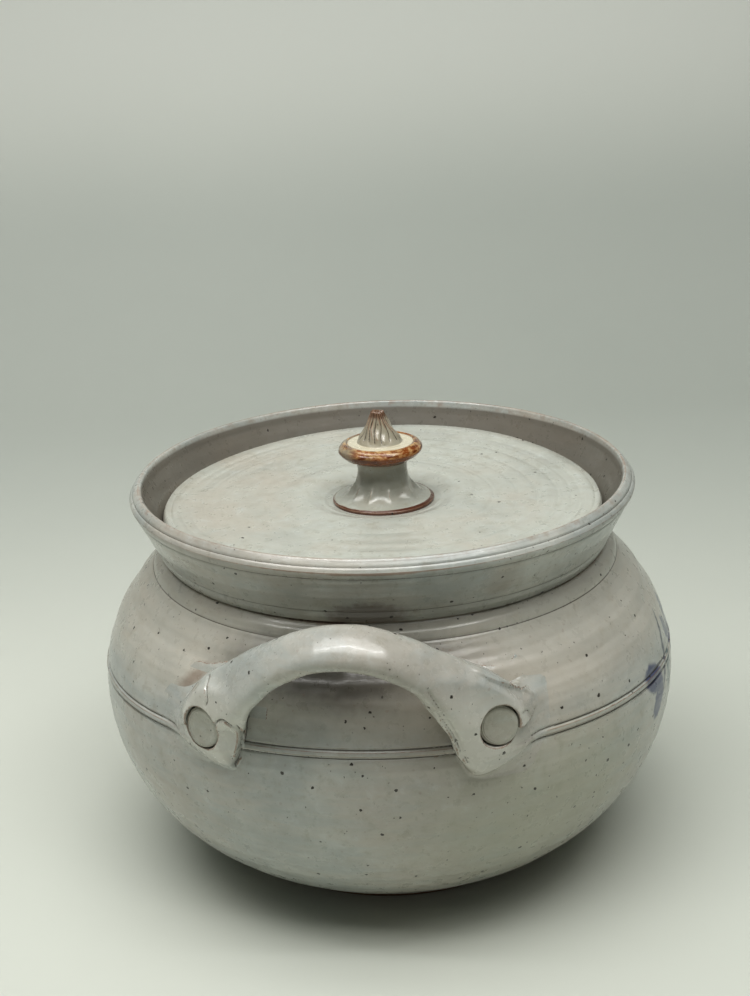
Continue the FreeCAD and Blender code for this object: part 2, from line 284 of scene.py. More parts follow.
def skin(field, low, high, cell):
    """Closed quad mesh of the surface where field is 0, negative inside: one point in each cell that the
    surface crosses, joined across the crossed cell edges, and then drawn onto the surface."""
    coarse = cell * 4
    steps = [int(math.ceil((top - bottom) / coarse)) for bottom, top in zip(low, high)]
    axes = [bottom + coarse * np.arange(n + 1) for bottom, n in zip(low, steps)]
    rough = sampled(field, np.stack(np.meshgrid(*axes, indexing="ij"), -1))
    nearest = [np.minimum((np.arange(4 * n + 1) + 2) // 4, n) for n in steps]
    values = rough[np.ix_(*nearest)]
    axes = [bottom + cell * np.arange(4 * n + 1) for bottom, n in zip(low, steps)]
    grid = np.stack(np.meshgrid(*axes, indexing="ij"), -1)
    close = np.abs(values) < coarse * 1.3
    values[close] = sampled(field, grid[close])
    inside = values < 0
    shape = np.array(values.shape) - 1
    total = np.zeros((*shape, 3))
    hits = np.zeros(shape)
    number = np.arange(shape.prod()).reshape(shape)
    quads = []
    for axis in range(3):
        step = np.eye(3, dtype=int)[axis]
        u, v = [k for k in range(3) if k != axis]
        ends = tuple(slice(k, None) for k in step)
        starts = tuple(slice(None, -k if k else None) for k in step)
        spots = np.argwhere(inside[starts] != inside[ends])
        spots = spots[(spots[:, [u, v]] > 0).all(1) & (spots[:, [u, v]] < shape[[u, v]]).all(1)]
        a, b = values[tuple(spots.T)], values[tuple((spots + step).T)]
        place = grid[tuple(spots.T)].astype(float)
        place[:, axis] += cell * a / (a - b)
        ring = []
        for du, dv in ((0, 0), (-1, 0), (-1, -1), (0, -1)):
            shift = np.zeros(3, int)
            shift[u], shift[v] = du, dv
            where = tuple((spots + shift).T)
            np.add.at(total, where, place)
            np.add.at(hits, where, 1)
            ring.append(number[where])
        ring = np.stack(ring, -1)
        flip = (a > 0) != (axis == 1)
        ring[flip] = ring[flip][:, ::-1]
        quads.append(ring)
    used = np.flatnonzero(hits)
    order = np.full(shape.prod(), -1)
    order[used] = np.arange(len(used))
    points = total.reshape(-1, 3)[used] / hits.ravel()[used][:, None]
    for _ in range(2):
        value = sampled(field, points)
        nudges = np.eye(3) * 0.05
        slope = np.stack([sampled(field, points + k) - sampled(field, points - k) for k in nudges], -1) / 0.1
        steep = np.maximum((slope**2).sum(1), 0.2)
        points = points - np.clip(value / steep, -0.5 * cell, 0.5 * cell)[:, None] * slope
    return points, order[np.concatenate(quads)]


def soft_min(a, b, reach):
    """The lesser of two fields, with a fillet about one reach wide."""
    mix = np.clip(0.5 + 0.5 * (b - a) / reach, 0, 1)
    return b + (a - b) * mix - reach * mix * (1 - mix)


def soft_max(a, b, reach):
    return -soft_min(-a, -b, reach)


# ---------------------------------------------------------------- glazes
class Nodes:
    """A material's node tree, with short calls for the nodes that the glazes are made of."""

    def __init__(self, name):
        self.material = bpy.data.materials.new(name)
        self.material.use_nodes = True
        self.tree = self.material.node_tree
        self.shader = self.tree.nodes["Principled BSDF"]

    def put(self, socket, value):
        if isinstance(value, bpy.types.NodeSocket):
            self.tree.links.new(value, socket)
        elif isinstance(value, tuple) and len(value) == 3 and socket.type == "RGBA":
            socket.default_value = (*value, 1)
        else:
            socket.default_value = value

    def node(self, kind, inputs, out=0, **settings):
        """One output of a new node, or all of them with out=None."""
        node = self.tree.nodes.new("ShaderNode" + kind)
        for key, value in settings.items():
            setattr(node, key, value)
        for key, value in inputs.items():
            self.put(node.inputs[key], value)
        return node.outputs if out is None else node.outputs[out]

    def math(self, operation, *values):
        return self.node("Math", dict(enumerate(values)), operation=operation)

    def add(self, *values):
        total = values[0]
        for value in values[1:]:
            total = self.math("ADD", total, value)
        return total

    def times(self, a, b):
        return self.math("MULTIPLY", a, b)

    def step(self, value, low, high, start=0.0, end=1.0):
        """start below low, end above high, smooth between."""
        inputs = {0: value, 1: low, 2: high, 3: start, 4: end}
        return self.node("MapRange", inputs, interpolation_type="SMOOTHSTEP")

    def hypot(self, x, y):
        """Square root of x² + y², such as how far from the axis a place is."""
        return self.math("SQRT", self.add(self.times(x, x), self.times(y, y)))

    def place(self, stretch=(1, 1, 1)):
        """The point in the frame's millimetres, stretched along the axes."""
        coordinates = self.node("TexCoord", {}, out="Object")
        scaled = tuple(k / MM for k in stretch)
        return self.node("VectorMath", {0: coordinates, 1: scaled}, operation="MULTIPLY")

    def parts(self, vector):
        return self.node("SeparateXYZ", {0: vector}, out=None)

    def noise(self, vector, size, detail=2.0, roughness=0.5, distortion=0.0):
        inputs = {"Vector": vector, "Scale": 1 / size, "Detail": detail, "Roughness": roughness}
        return self.node("TexNoise", {**inputs, "Distortion": distortion})

    def mix(self, share, a, b):
        node = self.tree.nodes.new("ShaderNodeMix")
        node.data_type = "RGBA"
        for key, value in (("Factor_Float", share), ("A_Color", a), ("B_Color", b)):
            self.put(next(k for k in node.inputs if k.identifier == key), value)
        return next(k for k in node.outputs if k.identifier == "Result_Color")

    def over(self, paint, share, strength, tint):
        """The paint with a tint laid over it: share says where, and strength how thickly."""
        return self.mix(self.times(share, strength), paint, tint)

    def mark(self, name):
        return self.node("Attribute", {}, out="Fac", attribute_name=name)

    def specks(self, place, apart, size, share):
        """1 inside small ragged grains about apart millimetres from each other, in that share of places."""
        ragged = self.node("TexNoise", {"Vector": place, "Scale": 0.9}, out="Color")
        ragged = self.node("VectorMath", {0: ragged, "Scale": 1.3}, operation="SCALE")
        bent = self.node("VectorMath", {0: place, 1: ragged}, operation="ADD")
        spots = self.node("TexVoronoi", {"Vector": bent, "Scale": 1 / apart, "Randomness": 1.0}, out=None)
        red, green, _ = self.node("SeparateColor", {0: spots["Color"]}, out=None)
        reach = self.times(self.step(green, 0.0, 1.0, 0.45, 1.0), size / apart)
        inside = self.math("LESS_THAN", self.math("DIVIDE", spots["Distance"], reach), 1.0)
        return self.times(inside, self.math("LESS_THAN", red, share))

    def finish(self, paint, roughness, height, coat=None, coat_roughness=None):
        bump = self.node("Bump", {"Height": height, "Distance": MM, "Strength": 1.0})
        inputs = {"Base Color": paint, "Roughness": roughness, "Normal": bump}
        if coat:
            inputs |= {"Coat Weight": coat, "Coat Roughness": coat_roughness, "Coat Normal": bump}
        for key, value in inputs.items():
            self.put(self.shader.inputs[key], value)
        return self.material


def colour(red, green, blue):
    """Linear colour of an sRGB one in 0 to 255."""
    shares = (red / 255, green / 255, blue / 255)
    return tuple(k / 12.92 if k < 0.0404 else ((k + 0.055) / 1.055) ** 2.4 for k in shares)


CREAM = colour(193, 195, 188)
GREY = colour(166, 171, 167)
MURK = colour(146, 142, 126)
ROSE = colour(178, 170, 158)
THIN = colour(140, 112, 92)
RUST = colour(112, 64, 34)
CREASE = colour(72, 64, 52)
GRAIN = colour(40, 34, 28)
SAGE = colour(168, 171, 150)
ICE = colour(198, 203, 200)


def glaze(name, base, cool, warm, roughness=0.3, streak=0.5, grains=1.0, extra=None):
    """Milky stoneware glaze: clouded and streaked round the wheel, thin and brown on edges, dark in creases,
    with iron grains and pinholes. extra(nodes, place, colour) paints more on it."""
    n = Nodes(name)
    place = n.place()
    wheel = n.place((1, 1, 5))
    cloud = n.noise(place, 34, 4, 0.55)
    drift = n.noise(place, 90, 2)
    streaks = n.noise(wheel, 26, 5, 0.6, 0.6)
    fine = n.noise(wheel, 7, 3, 0.6)
    paint = n.mix(n.step(n.add(cloud, n.times(streaks, streak)), 0.55, 1.0), cool, base)
    paint = n.over(paint, n.step(n.add(drift, n.times(streaks, 0.4)), 0.62, 0.86), 0.6, warm)
    paint = n.over(paint, n.step(fine, 0.35, 0.7), 0.12, warm)
    curd = n.noise(place, 6, 5, 0.7, 0.4)
    paint = n.over(paint, n.step(curd, 0.5, 0.8), 0.5, ICE)
    paint = n.over(paint, n.step(curd, 0.5, 0.25), 0.45, MURK)
    if extra:
        paint = extra(n, place, paint)
    ragged = n.noise(place, 2.6, 4, 0.65)
    thin = n.step(n.add(n.mark("edge"), n.times(n.add(ragged, -0.5), 0.9)), 0.35, 0.95)
    paint = n.over(paint, thin, 0.7, THIN)
    crease = n.step(n.add(n.mark("pool"), n.times(n.add(ragged, -0.5), 0.4)), 0.3, 0.95)
    paint = n.over(paint, crease, 0.75, CREASE)
    large = n.specks(place, 6.2, 0.72, 0.85 * grains)
    small = n.specks(place, 3.3, 0.32, 0.9 * grains)
    faint = n.specks(place, 3.1, 0.55, 0.35)
    paint = n.over(paint, faint, 0.16 * grains, RUST)
    paint = n.mix(n.math("MAXIMUM", n.times(large, 0.95), n.times(small, 0.6)), paint, GRAIN)
    peel = n.times(n.noise(place, 2.2, 2), 0.03)
    waves = n.times(n.noise(place, 9, 2), 0.16)
    rings = n.times(streaks, 0.10)
    height = n.add(peel, waves, rings, n.times(n.math("MAXIMUM", large, small), -0.05))
    gloss = n.step(n.noise(place, 5, 4, 0.6), 0.3, 0.75, roughness - 0.04, roughness + 0.09)
    return n.finish(paint, gloss, height, coat=0.35, coat_roughness=0.07)


def wall_place(n):
    """Azimuth in degrees and height in millimetres, to place a brush stroke on the bowl."""
    x, y, z = n.parts(n.place())
    return n.times(n.math("ARCTAN2", x, n.times(y, -1.0)), 180 / math.pi), z


def blotch(n, azimuth, height, centre, size, lean=0.0, soft=0.3, rough=0.25):
    """1 inside a ragged ellipse on the wall, 0 outside: azimuth and height of its centre, half sizes along
    and across, and lean in degrees."""
    reach = BELLY_R * math.pi / 180
    across = n.times(n.add(azimuth, -centre[0]), reach)
    up = n.add(height, -centre[1])
    c, s = math.cos(math.radians(lean)), math.sin(math.radians(lean))
    along = n.times(n.add(n.times(across, c), n.times(up, s)), 1 / size[0])
    over = n.times(n.add(n.times(up, c), n.times(across, -s)), 1 / size[1])
    far = n.hypot(along, over)
    far = n.add(far, n.times(n.add(n.noise(n.place(), 0.35 * min(size) + 0.6, 3), -0.5), rough))
    return n.step(far, 1 - soft, 1 + soft, 1.0, 0.0)


# Warm and lighter: the shoulder's warmer glaze tone, and painted light on the upward-facing shoulder.
WARM_LIT_SHOULDER = colour(206, 199, 184)
INK = colour(62, 72, 106)
INK_DARK = colour(42, 50, 74)
LEAF = colour(84, 106, 108)
# Brush strokes of the flower on the bowl's right side: azimuth, height, half length, half width, lean,
# colour and strength
STROKES = (
    (69.8, 88.4, 9.4, 5.8, -24, INK, 0.93),
    (71.6, 78.2, 8.6, 5.0, 52, INK, 0.88),
    (80.6, 83.0, 8.6, 4.6, 80, LEAF, 0.85),
    (78.1, 92.5, 16.5, 1.5, 63, INK_DARK, 0.8),
    (71.8, 91.6, 6.2, 0.9, 0, INK_DARK, 0.8),
    (71.0, 88.2, 8.0, 0.75, 3, INK_DARK, 0.8),
    (85.6, 95.4, 7.6, 3.8, 118, INK, 0.75),
    (90.4, 101.0, 7.0, 3.6, 50, INK, 0.7),
    (93.4, 92.0, 7.6, 3.8, -12, INK, 0.75),
    (89.4, 85.8, 7.2, 3.4, -70, INK, 0.7),
    (89.2, 93.6, 2.4, 2.2, 0, INK_DARK, 0.85),
    (88.6, 77.4, 12.0, 0.9, 104, INK_DARK, 0.7),
    (94.6, 76.0, 9.0, 2.8, 40, LEAF, 0.7),
    (98.6, 84.0, 5.4, 2.6, 60, INK, 0.6),
    (96.8, 79.4, 8.5, 0.8, 60, INK_DARK, 0.65),
)


def bowl_paint(n, place, paint):
    """What is particular to the bowl's outer face: a warm shoulder, also painted lighter as painted light, a
    greenish lower right, painted shade under the straps, brown by the handle's left root, and the flower. The
    inner face keeps the plain glaze."""
    plain = paint
    azimuth, height = wall_place(n)
    # The shoulder is painted warmer and lighter: a warmer glaze tone, and painted light where it faces up.
    paint = n.over(paint, n.step(height, 94, 108), 0.45, WARM_LIT_SHOULDER)
    green = blotch(n, azimuth, height, (38, 58), (46, 30), 10, 0.7, 0.5)
    paint = n.over(paint, green, 0.5, SAGE)
    # Painted shade: a dark band on the wall just under each strap, front and back, where the strap and the
    # lip shade the shoulder.
    for middle in (0, 180):
        about = n.add(n.math("PINGPONG", azimuth, 180.0), -float(middle))
        strap_shade = blotch(n, about, height, (0, 118.5), (50, 11), 0, 0.6, 0.3)
        paint = n.over(paint, strap_shade, 0.95, colour(44, 42, 36))
    pale = blotch(n, azimuth, height, (30, 108), (52, 14), 0, 0.6, 0.5)
    paint = n.over(paint, pale, 0.35, ROSE)
    burnt = blotch(n, azimuth, height, (-33, 109), (8.5, 2.6), 38, 0.8, 1.0)
    paint = n.over(paint, burnt, 0.55, colour(124, 98, 82))
    for around, high, half_long, half_wide, lean, ink, strength in STROKES:
        stroke = blotch(n, azimuth, height, (around, high), (half_long, half_wide), lean, 0.16, 0.35)
        paint = n.over(paint, stroke, strength, ink)
    return n.mix(n.mark("inside"), paint, plain)


def collar_paint(n, place, paint):
    """A darker inner wall, partly a darker glaze and partly painted shade, painted shade on the outer face
    towards the neck, a brown blush at the neck that is partly a stain and partly painted shade, and a thin
    brown lip.
    """
    azimuth, height = wall_place(n)
    # The inner wall is painted darker: partly a darker grey-brown glaze, partly painted shade inside the
    # mouth.
    wall = n.times(n.step(n.mark("inside"), 0.2, 0.8), n.step(height, 160.2, 161.5, 1.0, 0.0))
    paint = n.over(paint, wall, 0.85, colour(112, 106, 96))
    # Painted shade: the outer face darkens towards the neck, under the flared lip.
    fade = n.times(n.step(height, 152, 134), n.add(1.0, n.times(wall, -1.0)))
    paint = n.over(paint, fade, 0.35, colour(120, 116, 102))
    # A brown blush at the front of the neck: partly a stain on the glaze, partly painted shade where the
    # front strap shades the neck.
    blush = blotch(n, azimuth, height, (4, 136), (19, 6.5), 3, 0.35, 0.7)
    paint = n.over(paint, blush, 0.7, colour(88, 74, 66))
    blush = blotch(n, azimuth, height, (34, 148), (9, 7), 0, 0.5, 0.9)
    paint = n.over(paint, blush, 0.3, colour(132, 112, 90))
    lip = n.times(n.step(height, 160.4, 161.6), n.step(n.noise(place, 5, 4, 0.7), 0.46, 0.72))
    return n.over(paint, lip, 0.5, THIN)


def strap_paint(n, place, paint):
    """Painted light: the strap's two pressed ends are painted paler than the belly behind them, as if lit
    from the front.
    """
    x, y, z = n.parts(place)
    radius = n.hypot(x, y)
    # Painted light on the faces of the strap's ends, below the arch.
    pale = n.times(n.step(radius, 122.5, 127), n.step(z, 106, 124, 1.0, 0.0))
    return n.over(paint, pale, 0.6, colour(220, 219, 210))


def stem_paint(n, place, paint):
    """The stem's foot wears a thin dark-brown edge, and the stem grows darker towards the top, up under the
    ring.
    """
    x, y, z = n.parts(place)
    radius = n.hypot(x, y)
    ragged = n.noise(place, 3, 3, 0.6)
    edge = n.times(n.step(n.add(radius, n.times(ragged, 0.5)), STEM_FOOT - 0.9, STEM_FOOT - 0.6),
                   n.step(z, LID_TOP + 0.3, LID_TOP + 1.3, 1.0, 0.0))
    paint = n.over(paint, n.step(z, LID_TOP + 6, LID_TOP + 12), 0.3, colour(120, 120, 104))
    return n.over(paint, edge, 0.95, colour(84, 42, 24))


def tip_paint(n, place, paint):
    """Dark grooves between the tip's ribs, and a glossy brown crown."""
    _, _, z = n.parts(place)
    ragged = n.noise(n.place((1.6, 1.6, 0.5)), 1.3, 4, 0.7)
    paint = n.over(paint, n.step(n.add(n.mark("pool"), n.times(ragged, 0.7)), 0.55, 0.95), 0.8, CREASE)
    crown = n.step(n.add(z, n.times(ragged, 3.0)), CONE_HIGH[2] - 2.2, CONE_HIGH[2] - 0.2)
    return n.over(paint, crown, 0.85, colour(96, 62, 44))


def iron_glaze():
    """Knob ring: rust-brown iron glaze that breaks golden on the roll, round a cream disc."""
    n = Nodes("iron_glaze")
    place = n.place()
    x, y, z = n.parts(place)
    radius = n.hypot(x, y)
    ragged = n.noise(place, 1.8, 4, 0.7)
    patches = n.noise(n.place((1, 1, 2)), 9, 3, 0.6)
    brown = n.mix(n.step(patches, 0.38, 0.62), colour(98, 50, 24), colour(140, 78, 36))
    top = n.step(z, LID_TOP + 19.6, LID_TOP + 21.6)
    golden = n.times(top, n.step(n.noise(n.place((1, 1, 3.5)), 3.2, 4, 0.7), 0.42, 0.6))
    brown = n.over(brown, golden, 0.75, colour(202, 168, 118))
    grey = n.times(n.step(x, -6, -13), n.step(patches, 0.35, 0.6))
    brown = n.over(brown, grey, 0.7, colour(150, 152, 136))
    disc = n.step(n.add(radius, n.times(ragged, 0.8)), 13.7, 14.5, 1.0, 0.0)
    paint = n.over(brown, disc, n.step(z, LID_TOP + 22.4, LID_TOP + 23), colour(208, 201, 178))
    paint = n.over(paint, n.step(n.mark("pool"), 0.25, 0.8), 0.7, colour(96, 66, 40))
    height = n.add(n.times(ragged, 0.05), n.times(patches, 0.12))
    return n.finish(paint, n.step(ragged, 0.3, 0.7, 0.14, 0.3), height, coat=0.5, coat_roughness=0.05)


def bare_clay():
    """Unglazed foot: dark toasted stoneware with fine grog."""
    n = Nodes("bare_clay")
    place = n.place()
    grit = n.noise(place, 0.8, 4, 0.7)
    paint = n.mix(n.noise(place, 12, 3), colour(104, 78, 56), colour(134, 104, 78))
    paint = n.over(paint, n.step(grit, 0.5, 0.7), 0.5, colour(74, 54, 40))
    wheel = n.noise(n.place((1, 1, 6)), 9, 4, 0.6)
    return n.finish(paint, n.step(grit, 0.3, 0.7, 0.7, 0.9), n.add(n.times(grit, 0.12), n.times(wheel, 0.2)))


# ---------------------------------------------------------------- the thrown pieces
SEGMENTS = 360


def bowl_radius(height):
    """Radius of the bowl's outer face."""
    shoulder = UPPER_CENTRE + math.sqrt(UPPER_ARC**2 - (SHOULDER_Z - BELLY_Z) ** 2)
    low = LOWER_CENTRE + np.sqrt(np.maximum(LOWER_ARC**2 - (BELLY_Z - height) ** 2, 0))
    high = UPPER_CENTRE + np.sqrt(np.maximum(UPPER_ARC**2 - (height - BELLY_Z) ** 2, 0))
    cone = shoulder + (NECK_R - shoulder) * (height - SHOULDER_Z) / (NECK_Z - SHOULDER_Z)
    return np.where(height < BELLY_Z, low, np.where(height < SHOULDER_Z, high, cone))


def thrown(angle, along, seed, ring=0.1, pitch=7.5, wobble=0.3):
    """What the fingers leave on a thrown wall: shallow rings that climb as a spiral, and slow unevenness."""
    rings = np.sin(TURN * along / pitch - angle)
    rings += 0.5 * np.sin(TURN * along / (pitch * 0.41) - 2 * angle + seed)
    swell = 1 + 0.5 * wander(angle + along / 30, seed + 1, 3)
    return ring * rings * swell + wobble * wander(angle + along / 140, seed + 2, 5)


def cordon_lift(height, angle):
    """How far the raised line strays from level on its way round."""
    lift = -1.64 + 1.65 * np.cos(angle) + 1.01 * np.sin(angle) + 1.79 * np.cos(2 * angle)
    return lift * bell(height, CORDON_Z, 14)


def bowl_sway(x, y, z):
    """The neck stands a little higher at the back."""
    return (0.01 * y + 0.6) * ramp(90, 135, z)


def bowl_skin(angle, height):
    """How far the bowl's outer face stands off its plain form, the raised line taken as level."""
    skin = thrown(angle, height, 5, 0.07, 7.5, 0.28)
    skin += 0.24 * ramp(98, 108, height) * np.sin(TURN * (height - angle * 1.1) / 12.5)
    away = np.abs(height - CORDON_Z)
    skin += 0.38 * (1 - ramp(0.75, 1.15, away)) - 0.5 * bell(away, 1.62, 0.42)
    skin += 0.55 * bell(height, 130.0, 1.5) - 0.35 * bell(height, 127.3, 0.45)
    skin += 0.55 * bell(height, 8.8, 1.5) - 0.3 * (1 - ramp(6.2, 7.4, height))
    return skin + 0.35 * bell(height, 62, 16) * bell(turn_gap(angle, math.radians(-23)), 0, 0.05)


def bowl_relief(radius, height, angle, out_r, out_z):
    outside = (out_r > 0.2) & (height > FOOT_TOP + 0.05)
    inside = (out_r < -0.2) & (height > FLOOR_Z + 2)
    inner_skin = thrown(angle, height, 3, 0.22, 9, 0.3)
    return np.where(outside, bowl_skin(angle, height), 0) + np.where(inside, inner_skin, 0)


def make_bowl(material):
    heights = np.linspace(FOOT_TOP, NECK_Z - 0.8, 400)
    outer = np.stack([bowl_radius(heights), heights], -1)
    high = math.degrees(math.asin((SHOULDER_Z - BELLY_Z) / UPPER_ARC))
    low = math.degrees(math.asin((FLOOR_Z - BELLY_Z) / (LOWER_ARC - WALL)))
    inner = join([(NECK_R - NECK_WALL, NECK_Z)], arc((UPPER_CENTRE, BELLY_Z), UPPER_ARC - WALL, high, 0, 60),
                 arc((LOWER_CENTRE, BELLY_Z), LOWER_ARC - WALL, 0, low, 60))
    skin_line = spaced(outer, 0.78, (CORDON_Z - 1.5, CORDON_Z + 1.5, 127.5, 130.5, 7), 0.24, 2.4)
    outline = join([(0, FOOT_TOP), (40, FOOT_TOP), (60, FOOT_TOP)], skin_line,
                   [(NECK_R - 1.0, NECK_Z), (NECK_R - 1.1, NECK_Z)], spaced(inner, 3.2),
                   [(60, FLOOR_Z), (30, FLOOR_Z), (0, FLOOR_Z)])
    points, faces = turned(outline, SEGMENTS, bowl_relief, cordon_lift, bowl_sway)
    bowl = add_mesh("thrown_bowl", points, faces, material, "pot", "pot_glaze", "pot_body")
    mark_inside(bowl, points, bowl_radius(points[:, 2]) - WALL / 2)


def collar_relief(radius, height, angle, out_r, out_z):
    outside = (out_r > 0.2) & (height > NECK_Z + 0.5)
    inside = (out_r < -0.2) & (height > NECK_Z + 0.5)
    skin_out = thrown(angle, height, 5, 0.06, 8, 0.28)
    for at, push, width in ((136.2, 0.3, 1.2), (138.6, -0.3, 0.4), (156.6, 0.3, 0.8), (154.6, -0.32, 0.4),
                            (159.6, -0.26, 0.35)):
        skin_out += push * bell(height, at, width)
    skin_in = thrown(angle, height, 5, 0.04, 6, 0.28)
    return np.where(outside, skin_out, 0) + np.where(inside, -skin_in * 0.6, 0)


def make_collar(material):
    lip = [(LIP_R, 157.8), (LIP_R - 0.5, 158.7), (LIP_R - 1.6, 160.2), (LIP_R - 3.0, 161.6),
           (LIP_R - 3.9, RIM_Z), (LIP_R - 4.7, 161.5), (LIP_R - 5.2, 160.3), (MOUTH_R, 157.4)]
    outer = [(NECK_R - 0.1, NECK_Z + 0.7), (LIP_R - 0.9, 155.6), (LIP_R, 157.7)]
    inner = [(MOUTH_R - 0.3, 156.6), (NECK_R - WALL, NECK_Z)]
    outline = join([(NECK_R - 1.1, NECK_Z), (NECK_R - 1.0, NECK_Z)],
                   spaced(outer, 0.75, (138.6, 154.6), 0.28), smooth_line(lip, 48), spaced(inner, 0.9))
    points, faces = turned(outline, SEGMENTS, collar_relief, None, bowl_sway)
    collar = add_mesh("flared_collar", points, faces, material, "pot", "pot_glaze", "rim_collar")
    flare = (LIP_R - NECK_R) / (LIP_Z - NECK_Z)
    middle = NECK_R - WALL / 2 + flare * (points[:, 2] - NECK_Z)
    mark_inside(collar, points, middle)


def make_gallery(material):
    top, bottom = LEDGE_HIGH[2], LEDGE_HIGH[2] - LEDGE_THICK
    root = bottom - 3.0
    slope = (MOUTH_R - NECK_R + WALL) / (LIP_Z - NECK_Z)
    low, high = (NECK_R - WALL + slope * (z - NECK_Z) for z in (root, top))
    outline = join(spaced([(LEDGE_R + 0.6, bottom), (low, root)], 0.8),
                   spaced([(low + 0.2, root + 0.2), (high, top)], 2),
                   spaced([(high - 0.1, top), (LEDGE_R + 0.9, top)], 0.9),
                   arc((LEDGE_R + 0.9, top - 0.9), 0.9, 95, 180, 8),
                   spaced([(LEDGE_R, top - 1.0), (LEDGE_R, bottom + 0.7)], 0.8))

    def relief(radius, height, angle, out_r, out_z):
        free = (out_z <= 0.9) & (radius <= 87)
        return free * thrown(angle, height, 8, 0.08, 4, 0.15)

    add_mesh("lid_ledge", *turned(outline, SEGMENTS, relief), material, "pot", "pot_glaze", "lid_gallery")


def make_foot(material):
    outline = join([(60.8, 0.3)], spaced([(61.5, 0), (69.8, 0)], 1.0),
                   spaced([(69.9, 0.1), (71, 1.3), (71, 5)], 0.5), spaced([(70.9, 5), (60.1, 5)], 2),
                   spaced([(60, 4.9), (60, 1.0)], 0.7))

    def relief(radius, height, angle, out_r, out_z):
        return (height < 4.8) * (np.abs(out_r) > 0.5) * thrown(angle, height, 12, 0.1, 1.7, 0.2)

    add_mesh("turned_foot", *turned(outline, SEGMENTS, relief), material, "pot", "bare_clay", "foot_ring")


# ---------------------------------------------------------------- the lid and its knob
LID_R = LID_HIGH[0]
LID_BOTTOM = LID_LOW[2]
GUIDE_THICK = 5.5
STEM_FOOT = STEM_HIGH[0]
DISH = 1.7          # the knob's foot stands this far below the lid's face, in a shallow dish


def lid_sway(x, y, z):
    """The lid's top rises a little towards the back and sinks a little towards both sides."""
    back = 3.2 * (np.maximum(y, 0) / LID_R) ** 2 * ramp(LID_BOTTOM + 1, LID_TOP, z)
    return back - 0.006 * np.abs(x) * ramp(LID_BOTTOM + 3, LID_TOP, z)


def lid_relief(radius, height, angle, out_r, out_z):
    top = out_z > 0.5
    drift = 1.6 * wander(angle, 21, 3)
    at = radius + drift * ramp(20, 60, radius)
    skin = 1.1 * bell(radius, 36, 7) - 2.0 * (1 - ramp(21, 33, radius)) + 0.3 * bell(radius, 24.6, 1.2)
    skin += 0.10 * np.sin(TURN * at / 8.2 - angle) * ramp(36, 44, radius) * (1 - ramp(80, 86, radius))
    deeper_right = 1.1 * bell(turn_gap(angle, 1.2), 0, 0.55)
    for groove, deep in ((47, 0.22), (57.5, 0.16), (65.5, 0.2), (74, 0.24), (79.5, 0.26), (83.5, 0.28)):
        fade = 0.55 + 0.45 * wander(angle, int(groove), 4) + deeper_right * (groove > 60)
        skin -= deep * fade * bell(at + 0.25 * wander(angle, int(groove) + 1, 40), groove, 0.75)
    skin += 0.45 * bell(radius, 86.5, 3) + 0.25 * wander(angle, 23, 4) * ramp(20, 80, radius)
    edge = 1.3 + 0.5 * wander(angle, 24, 7) + 0.5 * np.cos(angle)
    return np.where(top, skin, 0) + np.where(out_r > 0.5, edge, 0)


def make_lid(material):
    rim = [(88.2, LID_BOTTOM), (LID_R - 0.6, LID_BOTTOM + 0.7), (LID_R, LID_BOTTOM + 2),
           (LID_R, LID_TOP - 2.2), (LID_R - 0.7, LID_TOP - 0.6), (LID_R - 2.4, LID_TOP)]
    outline = join([(0, LID_BOTTOM), (40, LID_BOTTOM), (70, LID_BOTTOM)], spaced(rim, 0.6),
                   spaced([(LID_R - 2.6, LID_TOP), (15, LID_TOP)], 0.62), [(8, LID_TOP), (0, LID_TOP)])
    points, faces = turned(outline, SEGMENTS, lid_relief, None, lid_sway)
    add_mesh("thrown_lid", points, faces, material, "lid", "lid_glaze", "lid_plate")


def make_guide(material):
    low, top, outer = GUIDE_LOW[2], LID_BOTTOM, GUIDE_HIGH[0]
    inner = outer - GUIDE_THICK
    outline = join(spaced([(inner + 0.5, low), (outer - 1.5, low)], 0.8),
                   spaced([(outer - 1.4, low), (outer, low + 1.5)], 0.5),
                   spaced([(outer, low + 1.6), (outer, top)], 0.8),
                   spaced([(outer - 0.2, top), (inner, top)], 2),
                   spaced([(inner, top - 0.2), (inner, low + 0.5)], 0.8))

    def relief(radius, height, angle, out_r, out_z):
        return (height < top - 0.5) * thrown(angle, height, 31, 0.07, 2.9, 0.15)

    points, faces = turned(outline, SEGMENTS, relief)
    add_mesh("locating_ring", points, faces, material, "lid", "bare_clay", "lid_locating_ring")


def lean_left(points):
    """The knob leans a little to the left: moves the points themselves."""
    rise = np.maximum(points[:, 2] - LID_TOP - 12, 0)
    points[:, 0] += 0.4 - 0.055 * rise
    return points


def make_pedestal(material):
    foot, base, top = STEM_FOOT, LID_TOP - DISH, STEM_HIGH[2]
    curve = [(foot, base - 0.8), (foot + 0.1, base + 0.5), (foot - 0.1, base + 0.9), (foot - 0.7, base + 1.2)]
    sweep = np.linspace(0, 1, 40)
    cone = np.stack([foot - 0.9 - (foot - 11.3) * np.sin(sweep * math.pi / 2) ** 0.9,
                     base + 1.4 + (10.6 + DISH) * (1 - np.cos(sweep * math.pi / 2)) ** 0.95], -1)
    neck = [(10.4, LID_TOP + 12.4), (10.6, LID_TOP + 14.2), (11.6, top)]
    outline = join([(0, base - 0.8), (10, base - 0.8)], spaced(curve, 0.25),
                   spaced(np.concatenate([cone, neck]), 0.35), [(6, top), (0, top)])

    def relief(radius, height, angle, out_r, out_z):
        up = height - LID_TOP
        flutes = 1.5 - 2.4 * np.abs(np.sin(5 * angle + 0.9 + 0.6 * np.sin(2 * angle + 1)))
        flutes += 0.3 * np.cos(4 * angle + 2)
        skin = 0.6 * flutes * bell(up, 3.6, 2.6) * (out_r > 0.05)
        return skin + 0.12 * wander(angle, 41, 6) * (radius > 12)

    points, faces = turned(outline, 288, relief)
    add_mesh("knob_stem", lean_left(points), faces, material, "lid", "lid_glaze", "knob_pedestal")


